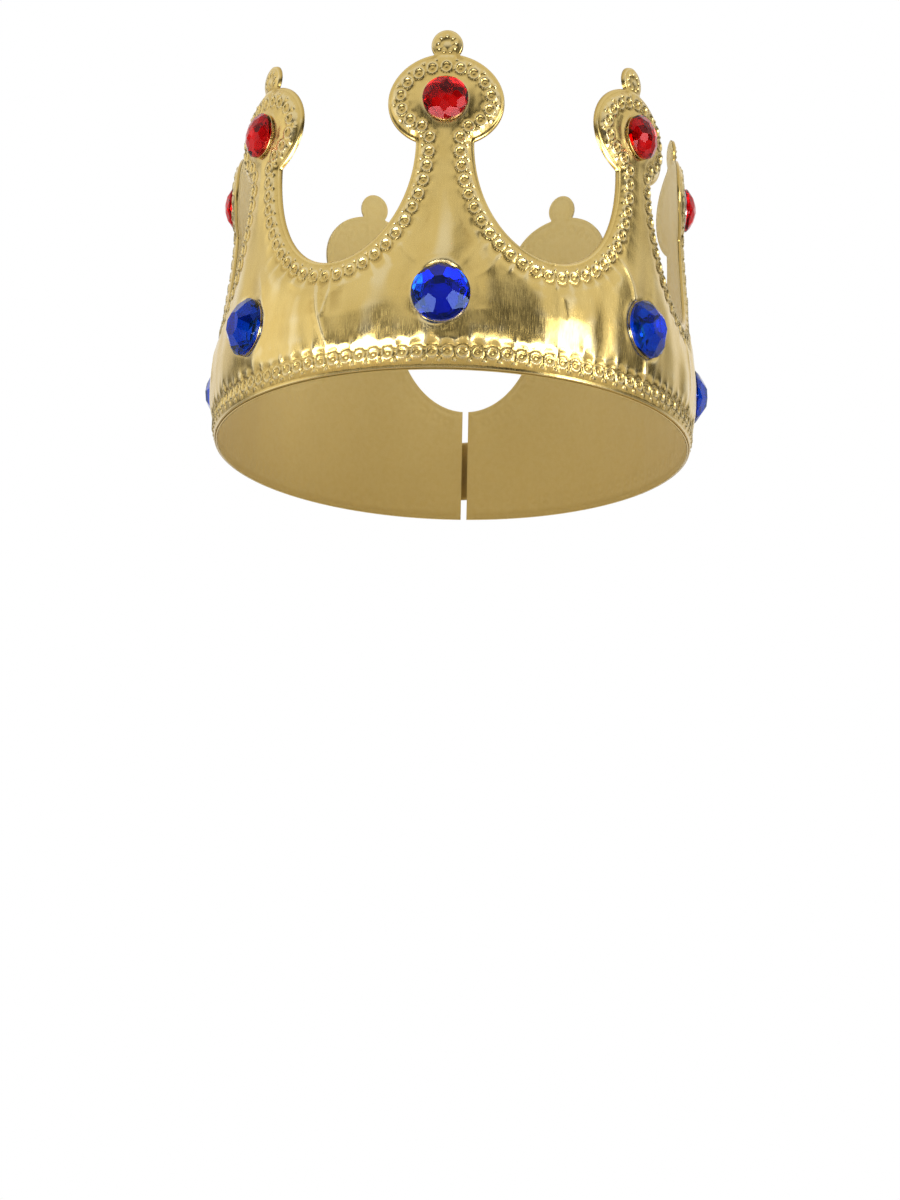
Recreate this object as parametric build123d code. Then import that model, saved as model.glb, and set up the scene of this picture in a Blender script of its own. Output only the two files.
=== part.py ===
from build123d import *

import math
import os

# A child's costume crown: a padded, embossed strip of gold foil with seven spikes, bent round
# the head and closed at the back with hook and loop tape, and faceted stones glued on.
# Millimetres. The origin is the centre of the rim on the plane it stands on, +Z is up and the
# front spike faces -Y.

# ---- the strip
RIM_HALF_WIDTH = 77.5  # outer face of the strip at the rim, left to right
RIM_HALF_DEPTH = 88.5  # outer face of the strip at the rim, front to back
LEAN = math.radians(2.5)  # the wall leans inwards as it rises
SPIKES = 7
STRIP_GAP = 2.0  # between the strip's two ends at the back
WALL_TOP = 125.0  # any height above the spikes

# ---- one spike: widths along the rim from its centre line, heights up the wall
NECK_HALF = 9.8
NOTCH_TOP = 73.6  # where the sides of the notch become upright
NOTCH_DEPTH = 36.3
HEAD_HEIGHT = 87.0  # centre of the oval head
HEAD_HALF_WIDTH = 20.0
HEAD_HALF_HEIGHT = 15.4
BALL_HEIGHT = 105.2
BALL_HALF_WIDTH = 5.5
BALL_HALF_HEIGHT = 5.1
BALL_NECK_HALF = 2.2

# ---- layers, as offsets outwards from the outer face
LINING_INNER = -3.4
LINING_OUTER = -2.9
LIP_OUTER = -2.1  # the sealed edge of the foil, pressed flat
FOAM_OUTER = -0.5
LIP_WIDTH = 1.2
SKIN_WALL = 0.6

# ---- stones
RED_RADIUS = 7.0
RED_DEPTH = 4.2
RED_HEIGHT = 86.4
BLUE_RADIUS = 9.0
BLUE_DEPTH = 5.2
BLUE_HEIGHT = 23.2
GIRDLE = 1.1
BACKING = 0.15
GLUE = 0.3  # at its thinnest, in the middle
GLUE_MARGIN = 1.2
PLACES = {
    -3: "rear_left",
    -2: "side_left",
    -1: "front_left",
    0: "front",
    1: "front_right",
    2: "side_right",
    3: "rear_right",
}

# ---- closing tab, measured along the strip from the middle of the back, + towards the left
CLOSURE_HEIGHT = 18.0  # its middle, above the rim
TAPE_START, TAPE_END = 3.5, 23.5
TAPE_TALL = 16.0
LOOP_THICK = 1.0
HOOK_INNER, HOOK_OUTER = 1.3, 2.2
TAB_TALL = 20.0
TAB_THICK = 1.0
TAB_END = 27.0
TAB_CORNER = 5.0
ANCHOR_START, ANCHOR_END = -15.0, -1.0
RISER_TOP = 1.8
HINGE_ALONG = -1.5
HINGE_CLEARANCE = 0.3
THREAD = 0.35
SEAM_MARGIN = 1.5


# ---- the rim's curve
def arc_table(steps=7200):
    """Lengths along the rim from the front to each step of its angle."""
    lengths = [0.0]
    step = math.tau / steps
    for k in range(steps):
        angle = (k + 0.5) * step
        speed = math.hypot(RIM_HALF_WIDTH * math.cos(angle), RIM_HALF_DEPTH * math.sin(angle))
        lengths.append(lengths[-1] + speed * step)
    return lengths


ARC = arc_table()
PERIMETER = ARC[-1]
PITCH = PERIMETER / SPIKES
BACK = PERIMETER / 2


def rim_angle(along):
    """The ellipse's angle at a length along the rim from the front centre."""
    wanted = along % PERIMETER
    low, high = 0, len(ARC) - 1
    while high - low > 1:
        middle = (low + high) // 2
        if ARC[middle] > wanted:
            high = middle
        else:
            low = middle
    share = (wanted - ARC[low]) / (ARC[high] - ARC[low])
    return (low + share) * math.tau / (len(ARC) - 1)


def rim_frame(along):
    """Point, tangent and outward normal of the rim at a length along it."""
    angle = rim_angle(along)
    point = Vector(RIM_HALF_WIDTH * math.sin(angle), -RIM_HALF_DEPTH * math.cos(angle), 0)
    tangent = Vector(RIM_HALF_WIDTH * math.cos(angle), RIM_HALF_DEPTH * math.sin(angle), 0)
    tangent = tangent.normalized()
    return point, tangent, Vector(tangent.Y, -tangent.X, 0)


def upright_plane(along):
    """Upright plane that touches the rim: x runs along the strip, y up, z outwards."""
    point, tangent, normal = rim_frame(along)
    return Plane(origin=point, x_dir=tangent, z_dir=normal)


def wall_plane(along, height, offset):
    """Plane that lies on the leaning wall, a distance off its outer face."""
    point, tangent, normal = rim_frame(along)
    rise = Vector(0, 0, 1) * math.cos(LEAN) - normal * math.sin(LEAN)
    outward = normal * math.cos(LEAN) + Vector(0, 0, 1) * math.sin(LEAN)
    return Plane(origin=point + rise * height + outward * offset, x_dir=tangent, z_dir=outward)


def across(spike, along, height=0.0):
    """Where a point of the wall falls in a spike's upright plane, left to right."""
    centre, tangent, _ = rim_frame(spike * PITCH)
    point, _, normal = rim_frame(along)
    return (point - normal * math.sin(LEAN) * height - centre).dot(tangent)


# ---- the wall and its layers
def wall_solid(offset):
    """Everything inside the wall's outer face, moved outwards by the offset."""
    lean = WALL_TOP * math.tan(LEAN)
    bottom = Ellipse(RIM_HALF_WIDTH + offset, RIM_HALF_DEPTH + offset)
    top = Ellipse(RIM_HALF_WIDTH + offset - lean, RIM_HALF_DEPTH + offset - lean)
    return loft([bottom, Plane.XY.offset(WALL_TOP) * top], ruled=True)


def shell(inner, outer):
    return wall_solid(outer) - wall_solid(inner)


def wedge(start, end, outer_reach=30.0, inner_reach=15.0):
    """Plan sector of the wall between two places along the strip."""
    first, _, first_normal = rim_frame(start)
    last, _, last_normal = rim_frame(end)
    corners = [
        first + first_normal * outer_reach,
        last + last_normal * outer_reach,
        last - last_normal * inner_reach,
        first - first_normal * inner_reach,
    ]
    plan = make_face(Polyline([(c.X, c.Y) for c in corners], close=True))
    return extrude(plan, amount=WALL_TOP)


def box_2d(left, right, low, high):
    return Pos((left + right) / 2, (low + high) / 2) * Rectangle(right - left, high - low)


def notch(seam, side, neck, inset):
    """The open notch at one seam: half an oval, straight above, level past the seam."""
    radius = abs(neck - seam) + inset
    bottom = NOTCH_TOP - NOTCH_DEPTH - inset
    past = seam + side * 8
    inner = seam - side * radius
    left, right = min(past, inner), max(past, inner)
    bowl = Pos(seam, NOTCH_TOP) * Ellipse(radius, NOTCH_DEPTH + inset)
    level = box_2d(min(past, seam), max(past, seam), bottom, NOTCH_TOP)
    return bowl + level + box_2d(left, right, NOTCH_TOP, WALL_TOP)


def oval(spike, half_width, half_height, height, inset):
    """Oval on a spike's centre line, its width measured along the curved wall."""
    centre = spike * PITCH
    left, right = (across(spike, centre + side * half_width, height) for side in (-1, 1))
    middle = Pos((left + right) / 2, height)
    return middle * Ellipse((right - left) / 2 - inset, half_height - inset)


def spike_face(spike, inset, with_ball):
    """Outline of one spike and its stretch of band, drawn in at the edge by the inset."""
    centre = spike * PITCH
    seams = [across(spike, centre + side * PITCH / 2, NOTCH_TOP) for side in (-1, 1)]
    necks = [across(spike, centre + side * NECK_HALF, NOTCH_TOP) for side in (-1, 1)]
    face = box_2d(seams[0] - 6, seams[1] + 6, inset, HEAD_HEIGHT)
    for side, seam, neck in zip((-1, 1), seams, necks):
        face -= notch(seam, side, neck, inset)
    face += oval(spike, HEAD_HALF_WIDTH, HEAD_HALF_HEIGHT, HEAD_HEIGHT, inset)
    if with_ball:
        face += oval(spike, BALL_HALF_WIDTH, BALL_HALF_HEIGHT, BALL_HEIGHT, inset)
        face += box_2d(-BALL_NECK_HALF, BALL_NECK_HALF, HEAD_HEIGHT, BALL_HEIGHT)
    return face


def spike_prism(spike, inset, with_ball):
    """Cutter that keeps one spike of the wall, trimmed at its seams or at the strip's end."""
    last = SPIKES // 2
    start = (spike - 0.5) * PITCH
    end = (spike + 0.5) * PITCH
    if spike == -last:
        start += STRIP_GAP / 2 + inset
    if spike == last:
        end -= STRIP_GAP / 2 + inset
    face = upright_plane(spike * PITCH) * spike_face(spike, inset, with_ball)
    return extrude(face, amount=25, both=True) & wedge(start, end)


def wall_layer(inset, inner, outer, with_ball=True):
    """One layer of the whole strip, drawn in at its edges by the inset."""
    layer = shell(inner, outer)
    last = SPIKES // 2
    sectors = [layer & spike_prism(spike, inset, with_ball) for spike in range(-last, last + 1)]
    return sectors[0].fuse(*sectors[1:]).clean()


# ---- stones
def facet_ring(count, tilt, phase, distance, centre=0.0):
    """Planes of one ring of facets, each a distance from a point on the axis."""
    planes = []
    for k in range(count):
        turn = math.tau * (k + phase) / count
        lean = math.radians(tilt)
        normal = Vector(
            math.sin(lean) * math.cos(turn), math.sin(lean) * math.sin(turn), math.cos(lean)
        )
        planes.append(Plane(origin=Vector(0, 0, centre) + normal * distance, z_dir=normal))
    return planes


def edge_distance(radius, height, tilt):
    """Distance from the origin of a facet that passes through a ring of points."""
    lean = math.radians(tilt)
    return radius * math.sin(lean) + height * math.cos(lean)


def cut_stone(radius, depth, planes):
    """Flat-backed stone: a disc with its crown cut by facets."""
    stone = extrude(Circle(radius), amount=depth)
    for plane in planes:
        stone = split(stone, bisect_by=plane, keep=Keep.BOTTOM)
    return stone


def blue_stone():
    """Round brilliant: table, eight star facets, eight kites and sixteen girdle facets."""
    table = BLUE_RADIUS * 0.52
    planes = facet_ring(8, 35, 0, edge_distance(BLUE_RADIUS, GIRDLE + 0.35, 35))
    planes += facet_ring(16, 47, 0.5, edge_distance(BLUE_RADIUS, GIRDLE, 47))
    planes += facet_ring(8, 19, 0.5, edge_distance(table, BLUE_DEPTH, 19))
    return cut_stone(BLUE_RADIUS, BLUE_DEPTH, planes)


def red_stone():
    """Checkerboard cut: rings of facets that touch a dome."""
    dome = RED_DEPTH - GIRDLE
    dome_radius = (RED_RADIUS**2 + dome**2) / (2 * dome)
    centre = RED_DEPTH - dome_radius
    planes = facet_ring(4, 9, 0, dome_radius * 0.995, centre)
    planes += facet_ring(8, 22, 0.5, dome_radius * 0.99, centre)
    planes += facet_ring(8, 36, 0, dome_radius * 0.99, centre)
    planes += facet_ring(16, 47, 0.5, edge_distance(RED_RADIUS, GIRDLE, 47))
    return cut_stone(RED_RADIUS, RED_DEPTH, planes)


def stone_stack(stone, radius, along, height, turn):
    """A stone, its mirror backing and the glue under it, in place on the wall."""
    glue = extrude(Circle(radius - GLUE_MARGIN), amount=-3)
    glue = wall_plane(along, height, GLUE) * glue - wall_solid(0)
    backing = wall_plane(along, height, GLUE) * extrude(Circle(radius), amount=BACKING)
    placed = wall_plane(along, height, GLUE + BACKING) * (Rot(0, 0, turn) * stone)
    return placed, backing, glue


# ---- closing tab
def patch(start, end, tall, inner, outer, corner):
    """Curved patch on the back of the wall, rounded at its corners."""
    middle = BACK + (start + end) / 2
    face = RectangleRounded(end - start, tall, corner) if corner else Rectangle(end - start, tall)
    outline = upright_plane(middle) * (Pos(0, CLOSURE_HEIGHT) * face)
    return extrude(outline, amount=25, both=True) & shell(inner, outer)


def seam_ring(start, end, tall, inner, outer, corner):
    """Thread sewn round a patch, a seam margin in from its edge."""
    inset = SEAM_MARGIN
    ring = patch(start + inset, end - inset, tall - 2 * inset, inner, outer, corner)
    inset += THREAD
    return ring - patch(start + inset, end - inset, tall - 2 * inset, inner - 1, outer + 1, corner)


def tab_anchor():
    """The sewn end of the tab, with the fold that rises to the hinge line."""
    plate = patch(ANCHOR_START, ANCHOR_END, TAB_TALL, 0, TAB_THICK, 1.5)
    return plate + patch(ANCHOR_END - 1.2, ANCHOR_END, TAB_TALL - 3, 0, RISER_TOP, 0)


def tab_flap():
    """The end of the tab that lifts: square at the hinge, round at the free end."""
    start = HINGE_ALONG + HINGE_CLEARANCE
    outer = HOOK_OUTER + TAB_THICK
    square = patch(start, TAB_END - TAB_CORNER * 2, TAB_TALL, HOOK_OUTER, outer, 0)
    return square + patch(start + 1, TAB_END, TAB_TALL, HOOK_OUTER, outer, TAB_CORNER)


# ---- everything, by node name
def build_parts():
    parts = {}
    lip = wall_layer(0, LINING_OUTER, LIP_OUTER)
    raised = wall_layer(LIP_WIDTH, LINING_OUTER, 0)
    foam = wall_layer(LIP_WIDTH + SKIN_WALL, LINING_OUTER, FOAM_OUTER, with_ball=False)
    parts["front_skin"] = lip + raised - foam
    parts["foam_core"] = foam
    parts["lining"] = wall_layer(0, LINING_INNER, LINING_OUTER)

    red, blue = red_stone(), blue_stone()
    red_glue, blue_glue = [], []
    for spike, place in PLACES.items():
        along = spike * PITCH
        stack = stone_stack(red, RED_RADIUS, along, RED_HEIGHT, 20 + 31 * spike)
        parts[f"red_gem_{place}"], parts[f"red_backing_{place}"] = stack[:2]
        red_glue.append(stack[2])
        stack = stone_stack(blue, BLUE_RADIUS, along, BLUE_HEIGHT, 8 + 17 * spike)
        parts[f"blue_gem_{place}"], parts[f"blue_backing_{place}"] = stack[:2]
        blue_glue.append(stack[2])
    parts["red_gem_glue"] = Compound(children=[s for dab in red_glue for s in dab.solids()])
    parts["blue_gem_glue"] = Compound(children=[s for dab in blue_glue for s in dab.solids()])

    tape = (TAPE_START, TAPE_END, TAPE_TALL)
    loop_seam = seam_ring(*tape, LOOP_THICK - THREAD, LOOP_THICK, 0.5)
    parts["loop_tape"] = patch(*tape, 0, LOOP_THICK, 1.0) - loop_seam
    parts["loop_stitching"] = loop_seam
    parts["hook_tape"] = patch(*tape, HOOK_INNER, HOOK_OUTER, 1.0)
    tab_outer = HOOK_OUTER + TAB_THICK
    parts["tab_flap"] = tab_flap()
    parts["flap_stitching"] = seam_ring(*tape, tab_outer, tab_outer + THREAD, 0.5)
    parts["tab_anchor"] = tab_anchor()
    anchor = (ANCHOR_START, ANCHOR_END - 1, TAB_TALL)
    parts["anchor_stitching"] = seam_ring(*anchor, TAB_THICK, TAB_THICK + THREAD, 0.5)
    return parts


os.makedirs("parts", exist_ok=True)
for name, part in build_parts().items():
    export_step(part, f"parts/{name}.step")
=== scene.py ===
"""Looks of the costume crown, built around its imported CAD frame."""

import math
import random

import bpy
import numpy as np
from mathutils import Matrix, Vector
from mathutils.geometry import delaunay_2d_cdt
from mathutils.kdtree import KDTree


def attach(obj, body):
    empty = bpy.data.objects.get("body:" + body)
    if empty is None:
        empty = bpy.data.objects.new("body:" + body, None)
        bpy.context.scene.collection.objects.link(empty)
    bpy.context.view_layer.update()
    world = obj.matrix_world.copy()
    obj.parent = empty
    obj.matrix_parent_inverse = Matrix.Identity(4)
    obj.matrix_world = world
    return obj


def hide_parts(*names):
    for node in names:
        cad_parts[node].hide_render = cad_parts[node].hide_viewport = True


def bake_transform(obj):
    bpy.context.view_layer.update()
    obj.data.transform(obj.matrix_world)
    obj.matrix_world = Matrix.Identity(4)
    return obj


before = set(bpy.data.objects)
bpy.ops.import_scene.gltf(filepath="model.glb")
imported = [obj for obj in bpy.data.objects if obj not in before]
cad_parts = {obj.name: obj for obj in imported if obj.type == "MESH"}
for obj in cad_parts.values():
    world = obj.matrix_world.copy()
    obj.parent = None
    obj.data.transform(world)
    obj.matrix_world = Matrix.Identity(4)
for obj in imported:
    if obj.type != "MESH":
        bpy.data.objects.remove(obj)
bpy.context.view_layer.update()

MM = 0.001  # the strip's flat pattern is in millimetres, and on_wall() turns it into metres
UP = np.array([0, 0, 1])

# ---- the strip, as in the CAD
RIM_HALF_WIDTH = 77.5
RIM_HALF_DEPTH = 88.5
LEAN = math.radians(2.5)
SPIKES = 7
LAST_SPIKE = SPIKES // 2
STRIP_GAP = 2.0  # between the strip's two ends at the back
NECK_HALF = 9.8
NOTCH_TOP = 73.6
NOTCH_DEPTH = 36.3
HEAD_HEIGHT = 87.0
HEAD_HALF_WIDTH = 20.0
HEAD_HALF_HEIGHT = 15.4
BALL_HEIGHT = 105.2
BALL_HALF_WIDTH = 5.5
BALL_HALF_HEIGHT = 5.1
LINING_INNER = -3.4
LINING_OUTER = -2.9

# ---- stones
RED_RADIUS = 7.0
RED_HEIGHT = 86.4
BLUE_RADIUS = 9.0
BLUE_HEIGHT = 23.2
STONES = ((RED_HEIGHT, RED_RADIUS), (BLUE_HEIGHT, BLUE_RADIUS))
GLUE = 0.3
DISH = {RED_RADIUS: (2.4, 0.65, 0.3), BLUE_RADIUS: (1.5, 0.16, 0.8)}  # width, depth, share of the bulge

# ---- closing tab, measured along the strip from the middle of the back, + towards the left
CLOSURE_HEIGHT = 18.0
TAPE_START, TAPE_END = 3.5, 23.5
TAPE_TALL = 16.0
HOOK_INNER, HOOK_OUTER = 1.3, 2.2
LOOP_THICK, LOOP_MIDDLE, LOOP_SEAM = 0.6, 0.36, 0.75
HOOK_THICK, HOOK_MIDDLE = 0.8, HOOK_OUTER - 0.42
TAB_TALL = 20.0
TAB_THICK = 1.0
TAB_END = 27.0
TAB_CORNER = 5.0
TAB_RISE = (-5.5, 1.8)  # where the tab's cloth rises from the band to the top of the tapes
ANCHOR_START = -15.0
ANCHOR_CORNER = 1.5
CLOTH_GAP = 0.06  # between the sewn end and the foil under it
FOLD_START, FOLD_END = -3.6, 0.6  # where the tab bends when it opens
FOLD_OFFSET = 1.5
SEAM_INSET = 1.5
SEAM_CORNER = 0.8
ANCHOR_SEAM_START, ANCHOR_SEAM_END = ANCHOR_START + 1.7, -6.2
ANCHOR_SEAM_TALL = TAB_TALL - 4

# ---- embossed border
RING_ROW = 4.9  # from the crown's edge to the ring centres
RIM_RING_ROW = RING_ROW + 0.3  # from the rim to the ring centres
RING_PITCH = 4.65
RING_CLEARANCE = 4.5  # ring centres keep this far from the middle of the back
DOT_ROW = 2.5


# ---- the strip's surface
def arc_table(steps=7200):
    """Angles of the rim's ellipse and the length along it from the front to each."""
    angles = np.linspace(0, math.tau, steps + 1)
    middle = (angles[1:] + angles[:-1]) / 2
    speed = np.hypot(RIM_HALF_WIDTH * np.cos(middle), RIM_HALF_DEPTH * np.sin(middle))
    return angles, np.concatenate([[0], np.cumsum(speed * math.tau / steps)])


ANGLES, ARC = arc_table()
PERIMETER = ARC[-1]
PITCH = PERIMETER / SPIKES
BACK = PERIMETER / 2


def rim_frame(along):
    """Point and outward normal of the rim at lengths along it."""
    angle = np.interp(np.mod(along, PERIMETER), ARC, ANGLES)
    flat = np.zeros_like(angle)
    point = np.stack([RIM_HALF_WIDTH * np.sin(angle), -RIM_HALF_DEPTH * np.cos(angle), flat], -1)
    tangent = np.stack([RIM_HALF_WIDTH * np.cos(angle), RIM_HALF_DEPTH * np.sin(angle), flat], -1)
    tangent /= np.linalg.norm(tangent, axis=-1, keepdims=True)
    return point, np.stack([tangent[..., 1], -tangent[..., 0], flat], -1)


def on_wall(*place):
    """Points of the leaning wall, in metres: along, height, and offset out from its outer face."""
    along, height, offset = np.broadcast_arrays(*(np.asarray(value, float) for value in place))
    point, normal = rim_frame(along)
    out = math.cos(LEAN) * offset - math.sin(LEAN) * height
    rise = math.sin(LEAN) * offset + math.cos(LEAN) * height
    return (point + normal * out[..., None] + UP * rise[..., None]) * MM


def wall_out(along):
    """Outward direction of the leaning wall."""
    _, normal = rim_frame(np.asarray(along, float))
    return normal * math.cos(LEAN) + UP * math.sin(LEAN)


# ---- small tools for outlines and profiles
def smooth(value, low, high):
    """0 below low, 1 above high, and an even S between them."""
    share = np.clip((value - low) / (high - low), 0, 1)
    return share * share * (3 - 2 * share)


def ellipse_arc(centre, radii, start, end, steps=800):
    """Points of an ellipse between two angles in degrees."""
    angle = np.radians(np.linspace(start, end, steps))
    return np.stack([centre[0] + radii[0] * np.cos(angle), centre[1] + radii[1] * np.sin(angle)], -1)


def length_along(curve):
    return np.concatenate([[0], np.cumsum(np.linalg.norm(np.diff(curve, axis=0), axis=1))])


def at_lengths(curve, lengths):
    along = length_along(curve)
    return np.stack([np.interp(lengths, along, curve[:, k]) for k in range(2)], -1)


def resample(curve, step):
    """The curve again, with evenly spaced points and both its ends."""
    total = length_along(curve)[-1]
    return at_lengths(curve, np.linspace(0, total, max(2, round(total / step) + 1)))


def mirrored(points):
    return points * np.array([-1, 1])


def nearest(points, targets):
    """Distance from each point to its nearest and second nearest target, and their indexes."""
    tree = KDTree(len(targets))
    for k, (x, y) in enumerate(targets.tolist()):
        tree.insert((x, y, 0), k)
    tree.balance()
    found = [tree.find_n((x, y, 0), 2) for x, y in points.tolist()]
    near = np.array([(first[2], second[2]) for first, second in found])
    index = np.array([(first[1], second[1]) for first, second in found])
    return near, index


# ---- outline and border of one spike, on its flat pattern: x from its centre line, y up the wall
def inside_ellipse(points, centre, radii):
    return ((points - centre) ** 2 / np.array(radii) ** 2).sum(1) < 1


def half_outline():
    """Edge of the strip from the notch's bottom to the top of the ball, right half."""
    seam = PITCH / 2
    bowl = ellipse_arc((seam, NOTCH_TOP), (seam - NECK_HALF, NOTCH_DEPTH), 270, 180)
    head, head_radii = (0, HEAD_HEIGHT), (HEAD_HALF_WIDTH, HEAD_HALF_HEIGHT)
    ball, ball_radii = (0, BALL_HEIGHT), (BALL_HALF_WIDTH, BALL_HALF_HEIGHT)
    start = -math.degrees(math.acos(NECK_HALF / HEAD_HALF_WIDTH))
    side = ellipse_arc(head, head_radii, start, 90, 3000)
    side = side[~inside_ellipse(side, ball, ball_radii)]
    side = side[side[:, 0] > 0.5]
    top = ellipse_arc(ball, ball_radii, -60, 90)
    top = top[~inside_ellipse(top, head, head_radii)]
    return np.concatenate([bowl, side, top])


def ring_path():
    """Line of the ring centres, from the seam to the top of the head, right half."""
    seam = PITCH / 2
    radii = (seam - NECK_HALF + RING_ROW, NOTCH_DEPTH + RING_ROW)
    bowl = ellipse_arc((seam, NOTCH_TOP), radii, 270, 180)
    corner = ellipse_arc((NECK_HALF, NOTCH_TOP), (RING_ROW, RING_ROW), 180, 114)
    radii = (HEAD_HALF_WIDTH - RING_ROW, HEAD_HALF_HEIGHT - RING_ROW)
    head = ellipse_arc((0, HEAD_HEIGHT), radii, -59, 90)
    return np.concatenate([bowl, corner, head])


def ring_centres():
    """Ring centres of the right half and of the bottom row, none of them on a seam."""
    path = ring_path()
    total = length_along(path)[-1]
    count = round(total / RING_PITCH - 0.5)
    pitch = total / (count + 0.5)
    side = at_lengths(path, (np.arange(count + 1) + 0.5) * pitch)
    below = round(PITCH / RING_PITCH)
    along = (np.arange(below) + 0.5) * PITCH / below - PITCH / 2
    return side, np.stack([along, np.full(below, RIM_RING_ROW)], -1)


HALF_OUTLINE = half_outline()
SIDE_RINGS, BOTTOM_RINGS = ring_centres()


def spike_pattern(spike, step=0.5):
    """A spike's closed outline, its upper edge and rim, and all of its edges that aren't seams."""
    first, last = spike == -LAST_SPIKE, spike == LAST_SPIKE
    left = PITCH / 2 - first * STRIP_GAP / 2
    right = PITCH / 2 - last * STRIP_GAP / 2
    upper_right = HALF_OUTLINE[HALF_OUTLINE[:, 0] <= right]
    upper_left = mirrored(HALF_OUTLINE[HALF_OUTLINE[:, 0] <= left])[::-1]
    upper = np.concatenate([upper_right, upper_left[1:]])
    rim = [(-left, 0), (right, 0)]
    loop = (rim, [rim[1], upper[0]], upper, [upper[-1], rim[0]])
    rim, right_side, upper, left_side = loop = [resample(np.array(part, float), step) for part in loop]
    outline = np.concatenate([part[:-1] for part in loop])
    return outline, (upper, rim), np.concatenate([upper, rim, *[right_side] * last, *[left_side] * first])


def spike_rings(spike):
    """Rings of a spike in order along their rows, with the neighbours' nearest ones."""
    side = np.concatenate([SIDE_RINGS, mirrored(SIDE_RINGS[:-1])[::-1]])
    beyond = SIDE_RINGS[:2] * [-1, 1] + [PITCH, 0]
    upper = np.concatenate([beyond[::-1], side, mirrored(beyond)])
    step = BOTTOM_RINGS[1] - BOTTOM_RINGS[0]
    lower = np.concatenate([BOTTOM_RINGS[:1] - step, BOTTOM_RINGS, BOTTOM_RINGS[-1:] + step])
    if abs(spike) < LAST_SPIKE:
        return [upper, lower]
    outward = math.copysign(1, spike)
    return [row[row[:, 0] * outward < PITCH / 2 - RING_CLEARANCE] for row in (upper, lower)]


def ring_dots(row, edge):
    """Small dots between the rings of a row, on the side of the crown's edge."""
    middle = (row[1:] + row[:-1]) / 2
    near, index = nearest(middle, edge)
    towards = (edge[index[:, 0]] - middle) / near[:, :1]
    return middle + towards * (near[:, :1] - DOT_ROW)


def circles(centres, radii, counts):
    """Points of concentric circles about each centre, and the centres themselves."""
    parts = [centres]
    for radius, count in zip(radii, counts):
        angle = np.arange(count) * math.tau / count + radius
        ring = np.stack([np.cos(angle), np.sin(angle)], -1) * radius
        parts.append((centres[:, None] + ring[None]).reshape(-1, 2))
    return np.concatenate(parts)


def leftward(curve):
    """Unit vectors to the left of a curve, at its points."""
    along = np.gradient(curve, axis=0)
    along /= np.linalg.norm(along, axis=1, keepdims=True)
    return np.stack([-along[:, 1], along[:, 0]], -1)


def inset_rows(edge, distances):
    """Rows of points at set distances inside an edge that runs counter-clockwise."""
    rows = []
    for distance in distances:
        row = edge + leftward(edge) * distance
        near, _ = nearest(row, edge)
        rows.append(row[near[:, 0] > distance - 0.12])
    return np.concatenate(rows)


class Scatter:
    """Points inside an outline, kept at least a spacing away from the ones already there."""

    CELL = 0.6

    def __init__(self, outline):
        self.outline = outline
        self.points = []
        self.cells = {}
        for x, y in outline.tolist():
            self.keep(x, y)

    def cell(self, x, y):
        return int(x // self.CELL), int(y // self.CELL)

    def keep(self, x, y):
        self.points.append((x, y))
        self.cells.setdefault(self.cell(x, y), []).append((x, y))

    def crowded(self, x, y, spacing):
        column, row = self.cell(x, y)
        reach = int(spacing // self.CELL) + 1
        around = range(-reach, reach + 1)
        limit = spacing * spacing
        close = (self.cells.get((column + i, row + j), ()) for i in around for j in around)
        return any((px - x) ** 2 + (py - y) ** 2 < limit for spots in close for px, py in spots)

    def add(self, points, spacing):
        for x, y in points.tolist():
            if abs(x) < PITCH / 2 and not self.crowded(x, y, spacing):
                self.keep(x, y)

    def triangulated(self):
        return triangulate(self.outline, np.array(self.points[len(self.outline) :]))


def even_grid(step):
    """Staggered grid over one spike's pattern."""
    rows = np.arange(0, BALL_HEIGHT + BALL_HALF_HEIGHT, step * math.sqrt(3) / 2)
    columns = np.arange(-PITCH / 2, PITCH / 2, step)
    x, y = np.meshgrid(columns, rows)
    x[1::2] += step / 2
    return np.stack([x.ravel(), y.ravel()], -1)


# ---- relief of the foil
class Profile:
    """A rounded curve through (distance, height) knots, which may be rounded more further out."""

    STEP = 0.02
    FAR = (3.5, 7.0)  # where the rounding changes over to the far one

    def __init__(self, knots, rounding, far_rounding=None):
        self.grid = np.arange(0, knots[-1][0] + self.STEP, self.STEP)
        sharp = np.interp(self.grid, [k[0] for k in knots], [k[1] for k in knots])
        self.height = self.rounded(sharp, rounding)
        if far_rounding:
            share = smooth(self.grid, *self.FAR)
            self.height = self.height * (1 - share) + self.rounded(sharp, far_rounding) * share

    def rounded(self, sharp, rounding):
        half = max(1, round(rounding / self.STEP))
        kernel = np.hanning(2 * half + 3)[1:-1]
        padded = np.concatenate([np.full(half, sharp[0]), sharp, np.full(half, sharp[-1])])
        return np.convolve(padded, kernel / kernel.sum(), "valid")

    def __call__(self, distance):
        return np.interp(distance, self.grid, self.height)


BORDER = Profile(  # distances from the edge, with offsets from the wall's outer face
    ((0, -2.9), (0.1, -2.3), (0.35, -1.85), (0.85, -1.82), (1.15, -1.98), (1.35, -1.96))
    + ((1.65, -1.72), (2.1, -1.62), (3.0, -1.45), (7.0, -1.35)),
    0.08,
)
RING = Profile(  # distances from a ring's centre, with heights above the border
    ((0, 0.24), (0.25, 0.18), (0.5, -0.05), (1.1, -0.06), (1.4, 0.24), (1.65, 0.54))
    + ((1.85, 0.54), (2.15, 0.12), (2.3, 0.0), (2.5, 0.0)),
    0.14,
)
DOT = Profile(((0, 0.42), (0.35, 0.34), (0.7, 0.0), (0.9, 0.0)), 0.1)
PANEL = Profile(  # distances from the nearest ring's centre, with offsets from the outer face
    ((0, -1.42), (2.15, -1.42), (2.3, -1.28), (2.5, -1.1), (3.4, -0.66), (4.3, -0.3))
    + ((5.5, -0.07), (7.5, 0.17), (10.5, 0.37), (15.0, 0.57), (20.0, 0.65), (26.0, 0.67)),
    0.3,
    4.0,
)
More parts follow.
